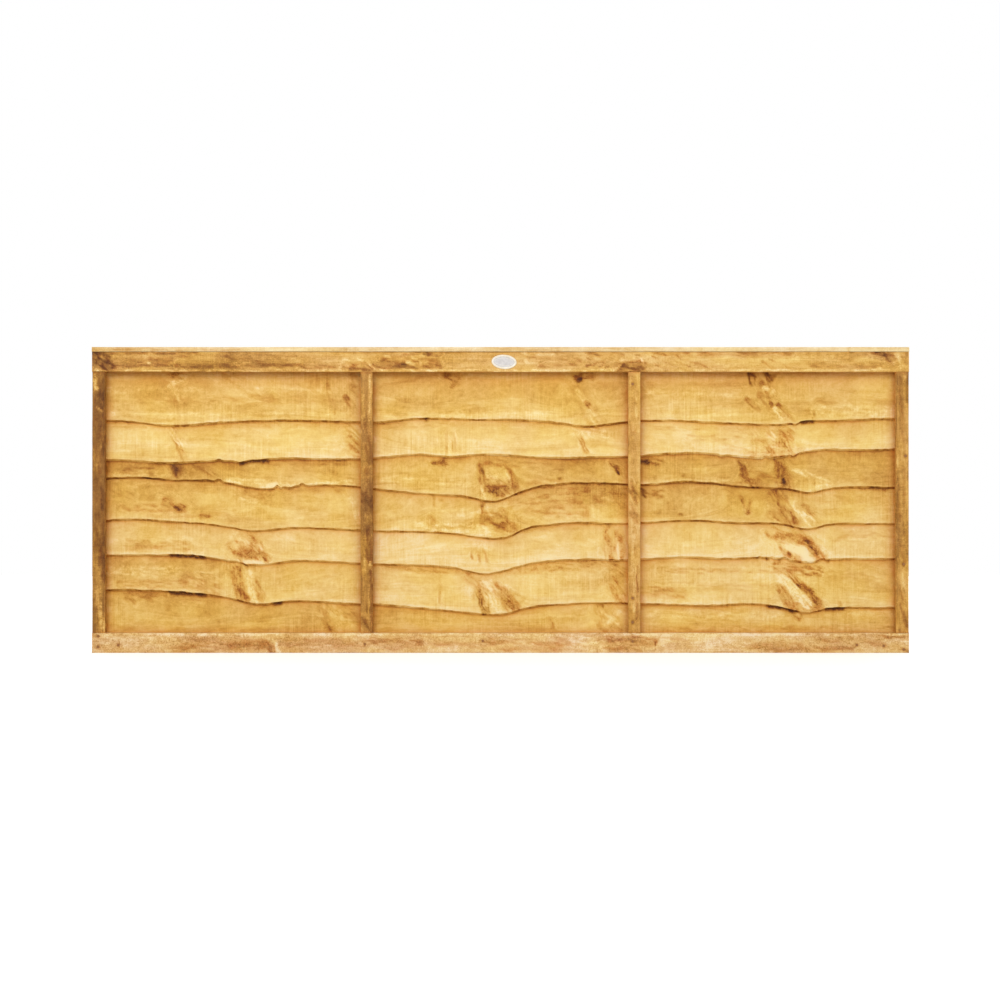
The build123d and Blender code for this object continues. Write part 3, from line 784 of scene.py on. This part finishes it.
def shade_near_members(x, z, side):
    """Painted brown shade on the boards, beside the uprights and the rails of one side."""
    dirt_and_shade = np.zeros(len(x))
    for upright in UPRIGHTS:
        low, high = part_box(f"{side}_{upright}")
        dirt_and_shade = np.maximum(dirt_and_shade, fading(np.maximum(low.x - x, x - high.x), *SHADE_UPRIGHT))
    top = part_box(f"{side}_top_rail")[0].z
    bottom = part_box(f"{side}_bottom_rail")[1].z
    dirt_and_shade = np.maximum(dirt_and_shade, fading(top - z, *SHADE_TOP))
    return np.maximum(dirt_and_shade, fading(z - bottom, *SHADE_BOTTOM))


def make_board(number, edge_above):
    """One waney board; returns its lower edge (x, z, how open it is) for the next board."""
    name = f"lap_board_{number}"
    seed = seed_of(name)
    board = BoardFrame(name)
    cells = 2 * round((board.x_high - board.x_low) / BOARD_CELL / 2)
    x = np.linspace(board.x_low, board.x_high, cells + 1)
    v_front, v_back, lift = ragged_edge(name, board, x)
    face_rows = 2 * round(v_front.mean() / BOARD_CELL / 2) + 1
    fx, fv, fw = board_sheet(board, x, v_front, v_back, lift, face_rows, seed)
    fine_rows = fv.shape[0]
    back_rows = (fine_rows - 1) // 2 + 1
    bx, bv, bw = back_sheet(x[::2], fv[-1, ::2], lift[::2], back_rows)
    columns = len(x)
    half_columns = bx.shape[1]

    gx = np.concatenate([fx.ravel(), bx.ravel()])
    gv = np.concatenate([fv.ravel(), bv.ravel()])
    gw = np.concatenate([fw.ravel(), bw.ravel()])
    places = board.place(gx, gv, gw)

    back_first = fine_rows * columns
    fine = np.arange(back_first).reshape(fine_rows, columns)
    coarse = back_first + np.arange(back_rows * half_columns).reshape(back_rows, half_columns)
    faces = grid_faces(0, fine_rows, columns, False) + grid_faces(back_first, back_rows, half_columns, True)
    faces += stitch(fine[0].tolist(), coarse[0].tolist(), False)
    faces += stitch(fine[-1].tolist(), coarse[-1].tolist(), True)
    faces += stitch(fine[:, 0].tolist(), coarse[:, 0].tolist(), True)
    faces += stitch(fine[:, -1].tolist(), coarse[:, -1].tolist(), False)

    px, masks = photo_marks(name, places)
    on_front = np.arange(len(gx)) < back_first
    # Painted shade on the boards beside the uprights and rails of each side
    front_shade, back_shade = (shade_near_members(gx, places[:, 2], side) for side in ("front", "back"))
    dirt_and_shade = np.where(on_front, front_shade, back_shade)
    lap = np.zeros(len(gx))
    contact = np.zeros(len(gx))
    if edge_above is not None:
        edge_x, edge_z, edge_lift = edge_above
        drop = np.maximum(np.interp(gx, edge_x, edge_z) - places[:, 2], 0)
        open_lap = np.interp(gx, edge_x, edge_lift)
        # Painted shade below the lap of the board above: darker and browner within LAP_REACH, a near-black
        # painted shadow line at the lap, deeper painted shadow where the lap is open
        strength = 0.3 + 0.9 * fractal(gx / 0.05, 0 * gx, seed + 41)
        lap = np.where(on_front, fading(drop, strength, LAP_REACH), 0)
        closed = CONTACT_SHARE * strength * np.exp(-(drop / CONTACT_REACH) ** 2)
        contact = np.where(on_front, np.maximum(closed, open_lap * np.exp(-(drop / OPEN_REACH) ** 2)), 0)
    edge_v = np.interp(gx, x, v_front)
    rise = np.maximum(edge_v - gv, 0)
    # Lighter and creamier towards the board's own lower edge: paler wood near the wane, with a painted
    # highlight on the rim just above it
    lower = (fading(rise, 0.7, EDGE_REACH) + 0.5 * np.exp(-(rise / RIM_HIGHLIGHT_REACH) ** 2)) * on_front
    patchy = 0.35 + 0.95 * fractal(gx / 0.022, 0 * gx, seed + 43)
    wane = smooth((gv - edge_v) / WANE_BORDER) * on_front * patchy
    attributes = {
        "tone": tone_of(name, px) + EDGE_LIGHT * lower - LAP_SHADE * lap,
        "dirt_and_shade": 1 - (1 - dirt_and_shade) * (1 - LAP_BROWN_SHADE * lap),
        "wane": wane,
        "heart": masks["heart"],
        # Besides the dark marks: the painted shadow line at the lap and painted shadow on the wane of an open
        # lap
        "dark": np.maximum(masks["dark"], np.maximum(contact, 0.9 * np.interp(gx, x, lift) * wane)),
        "pale": masks["pale"],
        "knot": masks["knot"],
        "shade": YELLOWNESS[number] - EDGE_CREAM * lower,
        "grain_place": np.stack([gx + 3.7 * number, ring_field(gx, gv, gw, masks["knot"], seed), gw], 1),
    }
    make_object(f"{name}_wood", places, faces, attributes, board_material, name)
    return x, board.place(x, v_back, 0 * x)[:, 2], lift


def make_bar(name, axis, cell, material, cross_cell, worn, pith):
    """Sawn timber along an axis, its long corners worn unevenly."""
    seed = seed_of(name)
    nail_spots = heads_on(name)
    low, high = (np.array(corner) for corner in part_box(name))
    along_axis = "xyz".index(axis)
    cross = [k for k in (0, 1, 2) if k != along_axis]
    a0, b0 = low[cross]
    a1, b1 = high[cross]
    length = high[along_axis] - low[along_axis]
    stations = np.linspace(0, length, max(2, round(length / cell)) + 1)
    corners = [(a0, b0), (a1, b0), (a1, b1), (a0, b1)]
    rings = []
    normals = []
    for k in range(4):
        start = np.array(corners[k])
        end = np.array(corners[(k + 1) % 4])
        run = np.linalg.norm(end - start)
        direction = (end - start) / run
        outward = np.array((direction[1], -direction[0]))
        radius0 = corner_radius(stations, k, seed, worn)
        radius1 = corner_radius(stations, (k + 1) % 4, seed, worn)
        steps = np.linspace(0, 1, max(2, round(run / cross_cell)) + 1)
        for step in steps:
            distance = radius0 + (run - radius0 - radius1) * step
            rings.append(start + distance[:, None] * direction)
            normals.append(np.broadcast_to(outward, (len(stations), 2)))
        after = np.array(corners[(k + 2) % 4])
        onward = (after - end) / np.linalg.norm(after - end)
        for turn in CORNER_TURNS:
            angle = math.radians(turn)
            centre = end - radius1[:, None] * direction + radius1[:, None] * onward
            tilt = outward * math.cos(angle) + direction * math.sin(angle)
            rings.append(centre + radius1[:, None] * tilt)
            normals.append(np.broadcast_to(tilt, (len(stations), 2)))
    ring = np.stack(rings, axis=1)
    normal = np.stack(normals, axis=1)
    around = ring.shape[1]
    s = np.broadcast_to(stations[:, None], ring.shape[:2])
    girth = np.broadcast_to(np.arange(around)[None, :] * cross_cell, ring.shape[:2])
    sunk = LEAST_SUNK + FACE_RELIEF * (0.6 * fractal(s / 0.10, girth / 0.02, seed + 51)
                                       + 0.6 * fractal(s / 0.012, girth / 0.008, seed + 53))
    sunk[0] = 0.0
    sunk[-1] = 0.0
    section = ring - normal * sunk[..., None]
    places = np.empty(ring.shape[:2] + (3,))
    places[..., along_axis] = low[along_axis] + s
    places[..., cross[0]] = section[..., 0]
    places[..., cross[1]] = section[..., 1]
    places = places.reshape(-1, 3)
    for spot in nail_spots:
        reach = np.linalg.norm(places - spot, axis=1)
        dip = NAIL_DIP * smooth(1.6 - reach / NAIL_DIP_REACH)
        places += normal_3d(normal, cross) * -dip[:, None]

    quads, faces = tube_faces(len(stations), around, len(places), len(places) + 1)
    places = np.vstack([places, places[:around].mean(axis=0), places[-around:].mean(axis=0)])
    if signed_volume(places, quads) < 0:
        faces = [tuple(face)[::-1] for face in faces]

    px, masks = photo_marks(name, places)
    along = places[:, along_axis]
    p = places[:, cross[0]] - low[cross[0]]
    q = places[:, cross[1]] - low[cross[1]]
    radius = np.hypot(p - pith[0], q - pith[1] + 0.01 * (fractal(along / 0.5, 0 * along, seed + 61) - 0.5))
    radius += 0.006 * fractal(along / 0.2, (p + q) / 0.02, seed + 63) + 0.014 * masks["knot"]
    holes = np.zeros(len(places))
    for spot in nail_spots:
        reach = np.linalg.norm(places - spot, axis=1)
        holes = np.maximum(holes, smooth(1.5 - reach / NAIL_STAIN_REACH))
    attributes = {
        "tone": tone_of(name, px),
        "dirt_and_shade": joint_stain(name, places, axis),
        "wane": np.zeros(len(places)),
        "shade": np.full(len(places), 1.0 if "bottom" in name else 0.0),
        "heart": np.maximum(masks["heart"], 0.6 * holes),
        "dark": np.maximum(masks["dark"], 0.15 * holes),
        "pale": masks["pale"],
        "knot": masks["knot"],
        "grain_place": np.stack([along + 0.61 * (seed % 17), radius, p - q], 1),
    }
    make_object(f"{name}_wood", places, faces, attributes, material, name)


def corner_radius(stations, corner, seed, worn):
    """How far one long corner is worn, along the timber."""
    wear = fractal(stations / 0.11, 0 * stations, seed + 71 + corner)
    deep = smooth((fractal(stations / 0.3, 0 * stations, seed + 81 + corner) - 0.6) / 0.2)
    return worn * (0.6 + 0.9 * wear + 1.2 * deep) + NICKS * noise(stations / 0.007, 0 * stations, seed + 91)


def normal_3d(normal, cross):
    """Normals of a section turned into ones in space."""
    full = np.zeros(normal.shape[:2] + (3,))
    full[..., cross[0]] = normal[..., 0]
    full[..., cross[1]] = normal[..., 1]
    return full.reshape(-1, 3)


def tube_faces(rows, around, first_middle, last_middle):
    """Quads of a closed tube numbered row by row, and all its faces with both ends capped."""
    ids = np.arange(rows * around).reshape(rows, around)
    after = np.roll(ids, -1, axis=1)
    quads = np.stack([ids[:-1].ravel(), after[:-1].ravel(), after[1:].ravel(), ids[1:].ravel()], 1)
    faces = quads.tolist()
    faces += [(first_middle, b, a) for a, b in zip(ids[0].tolist(), after[0].tolist())]
    faces += [(last_middle, a, b) for a, b in zip(ids[-1].tolist(), after[-1].tolist())]
    return quads, faces


def signed_volume(places, quads):
    a, b, c, d = (places[quads[:, k]] for k in range(4))
    return (np.einsum("ij,ij->i", a, np.cross(b, c)) + np.einsum("ij,ij->i", a, np.cross(c, d))).sum()


def joint_stain(name, places, axis):
    """Dirt where an upright butts a rail."""
    if axis != "z":
        return np.zeros(len(places))
    low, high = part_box(name)
    near = np.minimum(places[:, 2] - low.z, high.z - places[:, 2])
    return fading(near, *STAIN_JOINT)


# Which way each group of nails shows its heads: axis and sign
HEAD_SIDES = {"bottom_rail_nails": (1, -1), "upright_nails": (1, -1), "lap_nails": (1, 1),
              "top_rail_nails": (1, 1), "capping_nails": (2, 1)}
HEAD_LEVEL = 0.1 * MM            # vertices this near the outermost belong to a head
HEAD_REACH = 8 * MM              # and this near each other to the same head


def head_places(name):
    """Middle of each nail's head in a group, on the wood's surface."""
    points = np.array([vertex.co[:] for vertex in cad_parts[name].data.vertices])
    axis, sign = HEAD_SIDES[name]
    height = sign * points[:, axis]
    spots = []
    for point in points[height > height.max() - HEAD_LEVEL]:
        for group in spots:
            if np.linalg.norm(group[0] - point) < HEAD_REACH:
                group.append(point)
                break
        else:
            spots.append([point])
    return [(np.min(group, axis=0) + np.max(group, axis=0)) / 2 for group in spots]


def heads_on(name):
    """Nail heads on the surface of one piece."""
    low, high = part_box(name)
    margin = 1.0 * MM
    return [spot for spot in all_heads
            if all(low[k] - margin <= spot[k] <= high[k] + margin for k in range(3))]


# Materials

HONEY = [(0.0, (84, 46, 10)), (0.18, (132, 82, 24)), (0.32, (168, 112, 38)), (0.44, (199, 146, 61)),
         (0.54, (217, 168, 80)), (0.64, (230, 187, 99)), (0.80, (242, 209, 131)), (1.0, (251, 230, 172))]
AMBER = [(0.0, (92, 54, 18)), (0.2, (126, 82, 30)), (0.36, (158, 109, 46)), (0.5, (198, 145, 68)),
         (0.62, (222, 173, 92)), (0.8, (238, 202, 128)), (1.0, (250, 227, 172))]
TAN = [(0.0, (84, 50, 24)), (0.2, (124, 82, 40)), (0.36, (160, 112, 58)), (0.5, (200, 148, 82)),
       (0.62, (222, 176, 110)), (0.8, (238, 204, 144)), (1.0, (249, 228, 184))]
CREAM = [(0.0, (84, 48, 16)), (0.3, (172, 120, 56)), (0.5, (212, 166, 94)), (0.7, (234, 204, 146)),
         (1.0, (250, 234, 192))]
# Warm brown multiplied in for painted shade beside the uprights, rails and laps, for dirt at the joints and for
# knot wood
SHADE_AND_STAIN_BROWN = (226, 152, 66)


def timber_material(name, ramps, saw_axis, mottle, speckle, saw, drops, tint):
    """Sawn, stained softwood: rings, fibres, saw marks, mottling, knots, stains and painted shade.

    With two ramps the shade attribute chooses between them, else it moves the hue. Drops are
    how far heart and dark marks lower the tone and pale marks raise it.
    """
    shader = Shader(bpy.data.materials.new(name))
    shade = shader.attribute("shade")
    two = len(ramps) == 2
    coarse = shader.add(1.0, shader.times(shade, 1.0 if two else 0.0))
    grain = shader.attribute("grain_place", vector=True)
    place = shader.place()
    heart = shader.attribute("heart")
    dark = shader.attribute("dark")
    wane = shader.attribute("wane")
    heart_drop, dark_drop, pale_rise = drops

    broad = shader.noise(grain, (3.2, 30, 10), 3)
    cloud = shader.noise(place, (18, 18, 30), 4, 0.65)
    fibre = shader.noise(grain, (24, 1100, 500), 3, 0.6)
    streak = shader.noise(grain, (8, 170, 100), 3, 0.6, 0.5)
    speck = shader.noise(place, (330, 330, 330), 3, 0.7)
    blot = shader.noise(place, (85, 85, 85), 3, 0.62, 0.4)
    fine_scale, broad_scale = {"X": ((640, 24, 12), (170, 16, 7)), "Z": ((12, 24, 640), (7, 16, 170))}[saw_axis]
    saw_lines = shader.add(shader.times(shader.noise(place, fine_scale, 2, 0.7), 0.5),
                           shader.times(shader.noise(place, broad_scale, 3, 0.65), 0.5))
    saw_patch = shader.range(shader.noise(place, (6, 6, 16), 3), 0.42, 0.62, 0.1, 1.6)
    saw_mark = shader.times(shader.about(saw_lines, saw), saw_patch)

    from_pith = shader.new("SeparateXYZ", {0: grain}).outputs[1]
    phase = shader.times(from_pith, 2 * math.pi / RING_PITCH)
    wave = shader.math("SINE", shader.add(phase, shader.about(streak, 5.0)))
    ring = shader.times(wave, shader.range(cloud, 0.35, 0.65, 0.0, 0.02))

    value = shader.add(shader.attribute("tone"), shader.about(broad, 1.7 * mottle),
                       shader.about(cloud, 1.3 * mottle), shader.about(streak, 0.20), shader.about(fibre, 0.10),
                       shader.times(shader.about(speck, speckle), coarse),
                       shader.times(shader.about(blot, 0.9 * mottle), coarse), saw_mark, ring)
    # Borders of knots and stains, eaten into along the grain
    uneven = shader.add(shader.times(blot, 0.45), shader.times(streak, 0.3), shader.times(speck, 0.25))
    eaten = shader.range(uneven, 0.38, 0.60, 0.35, 1.3)
    for mask, change in ((heart, -heart_drop), (dark, -dark_drop), (shader.attribute("pale"), pale_rise)):
        value = shader.add(value, shader.times(shader.times(mask, eaten), change))
    # Fine broken grain inside the knots
    broken = shader.about(shader.noise(place, (260, 260, 380), 3, 0.7, 0.6), 0.30)
    value = shader.add(value, shader.times(shader.attribute("knot"), broken))
    # Wane faces darker: bark-brown wood, deepened as painted shade of the lap line
    value = shader.add(value, shader.times(wane, shader.range(blot, 0.3, 0.7, -0.28, -0.54)))
    colour = shader.ramp(value, ramps[0])
    hue = shader.range(shader.noise(grain, (9, 34, 20), 3, 0.55), 0.32, 0.68)
    if two:
        colour = shader.mix(shade, colour, shader.ramp(value, ramps[1]))
    else:
        hue = shader.math("SUBTRACT", hue, shade, clamp=True)
    tinted = shader.mix(hue, (1, 0.985, 1 - tint, 1), (1, 1, 1 + 0.7 * tint, 1))
    colour = shader.mix(1.0, colour, tinted, "MULTIPLY")
    # Painted shade beside the uprights, rails and laps, and dirt at the joints, turn the colour warm brown; so
    # does knot wood
    dirt_and_shade_amount = shader.times(shader.attribute("dirt_and_shade"), shader.range(cloud, 0.25, 0.75, 0.45, 1.0))
    warm = shader.math("MAXIMUM", dirt_and_shade_amount, shader.times(heart, shader.range(uneven, 0.38, 0.60, 0.1, 0.6)))
    colour = shader.mix(warm, colour, srgb(*SHADE_AND_STAIN_BROWN), "MULTIPLY")

    roughness = shader.add(0.62, shader.about(fibre, 0.10), shader.times(heart, -0.08), shader.times(wane, 0.1))
    relief = shader.add(shader.times(fibre, 0.5), shader.times(speck, 0.5), shader.times(saw_lines, 1.2),
                        shader.times(wave, -0.08), shader.times(blot, 0.5))
    shader.surface.inputs["Specular IOR Level"].default_value = 0.2
    return shader.finish(colour, roughness, relief, 0.4 * MM)


board_material = timber_material("board_wood", [HONEY], "X", mottle=0.15, speckle=0.12, saw=0.20,
                                 drops=(0.32, 0.60, 0.28), tint=0.16)
rail_material = timber_material("rail_wood", [AMBER, TAN], "X", mottle=0.16, speckle=0.22, saw=0.08,
                                drops=(0.26, 0.44, 0.24), tint=0.18)
upright_material = timber_material("upright_wood", [AMBER], "Z", mottle=0.15, speckle=0.18, saw=0.08,
                                   drops=(0.22, 0.34, 0.26), tint=0.20)
capping_material = timber_material("capping_wood", [CREAM], "X", mottle=0.14, speckle=0.18, saw=0.10,
                                   drops=(0.2, 0.4, 0.12), tint=0.10)


def nail_material():
    shader = Shader(bpy.data.materials.new("nail_steel"))
    place = shader.place()
    rust = shader.noise(place, (900, 900, 900), 3, 0.65)
    colour = shader.ramp(rust, [(0.2, (118, 74, 34)), (0.5, (152, 102, 52)), (0.8, (186, 134, 76))])
    shader.surface.inputs["Metallic"].default_value = 0.15
    roughness = shader.range(rust, 0.2, 0.8, 0.45, 0.8)
    return shader.finish(colour, roughness, rust, 0.12 * MM)


def badge_material():
    shader = Shader(bpy.data.materials.new("badge_plastic"))
    place = shader.place()
    field = shader.attribute("field")
    cloud = shader.noise(place, (160, 160, 160), 3, 0.6)
    fine = shader.noise(place, (1500, 1500, 1500), 2)
    rim = shader.ramp(cloud, [(0.3, (240, 228, 200)), (0.7, (252, 246, 232))])
    middle = shader.ramp(shader.add(shader.times(cloud, 0.7), shader.times(fine, 0.3)),
                         [(0.3, (196, 190, 186)), (0.55, (216, 212, 210)), (0.75, (232, 226, 220))])
    colour = shader.mix(field, rim, middle)
    roughness = shader.range(cloud, 0.3, 0.7, 0.32, 0.5)
    return shader.finish(colour, roughness, fine, 0.05 * MM)


# The oval badge, turned like its CAD solid

BADGE_STEPS = 144
BADGE_TILT = math.radians(-3.5)
BADGE_HALF = (28.0 * MM, 16.0 * MM)
# Inset from the oval's edge in mm, share of the height, and how far it is the field
BADGE_PROFILE = [(0.0, 0.0, 0), (0.0, 0.45, 0), (0.15, 0.62, 0), (0.5, 0.84, 0), (1.1, 0.97, 0),
                 (1.9, 1.0, 0), (2.8, 0.98, 0), (3.6, 0.88, 0), (4.2, 0.72, 0.3), (4.7, 0.62, 1),
                 (5.4, 0.60, 1), (7.0, 0.61, 1), (7.4, 0.66, .4), (7.9, 0.66, .4), (8.3, 0.61, 1),
                 (10.0, 0.62, 1), (12.5, 0.635, 1), (14.5, 0.645, 1)]
BADGE_MIDDLE = 0.65              # share of the height at its middle


def make_badge():
    low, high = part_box("badge")
    back_y = front_face_y
    centre_x = (low.x + high.x) / 2
    centre_z = (low.z + high.z) / 2
    rise = back_y - low.y
    turns = np.linspace(0, 2 * math.pi, BADGE_STEPS, endpoint=False)
    rows = []
    field = []
    for inset, height, share in BADGE_PROFILE:
        a = BADGE_HALF[0] - inset * MM
        b = BADGE_HALF[1] - inset * MM
        x = a * np.cos(turns)
        z = b * np.sin(turns)
        turned_x = x * math.cos(BADGE_TILT) - z * math.sin(BADGE_TILT)
        turned_z = x * math.sin(BADGE_TILT) + z * math.cos(BADGE_TILT)
        y = np.full(BADGE_STEPS, back_y - rise * height)
        rows.append(np.stack([centre_x + turned_x, y, centre_z + turned_z], axis=1))
        field.append(np.full(BADGE_STEPS, float(share)))
    middle = len(rows) * BADGE_STEPS
    middles = [[(centre_x, back_y - rise * BADGE_MIDDLE, centre_z)], [(centre_x, back_y, centre_z)]]
    places = np.vstack(rows + middles)
    field = np.concatenate(field + [[1.0], [0.0]])
    faces = tube_faces(len(rows), BADGE_STEPS, middle + 1, middle)[1]
    make_object("badge_plate", places, faces, {"field": field}, badge_material(), "badge")


# Building the panel

steel = nail_material()
all_heads = []
for group in HEAD_SIDES:
    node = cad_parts[group]
    node.data.materials.clear()
    node.data.materials.append(steel)
    all_heads += head_places(group)

edge = None
for number in range(1, 8):
    edge = make_board(number, edge)

for side, cell in (("front", RAIL_CELL), ("back", BACK_RAIL_CELL)):
    for level in ("top_rail", "bottom_rail"):
        make_bar(f"{side}_{level}", "x", cell, rail_material, cell, WORN, PITH_RAIL)
    for upright in UPRIGHTS:
        make_bar(f"{side}_{upright}", "z", cell, upright_material, 0.8 * cell, WORN,
                 PITH_UPRIGHT)
make_bar("top_capping", "x", RAIL_CELL, capping_material, CAPPING_CELL, CAPPING_WORN,
         PITH_CAPPING)
make_badge()

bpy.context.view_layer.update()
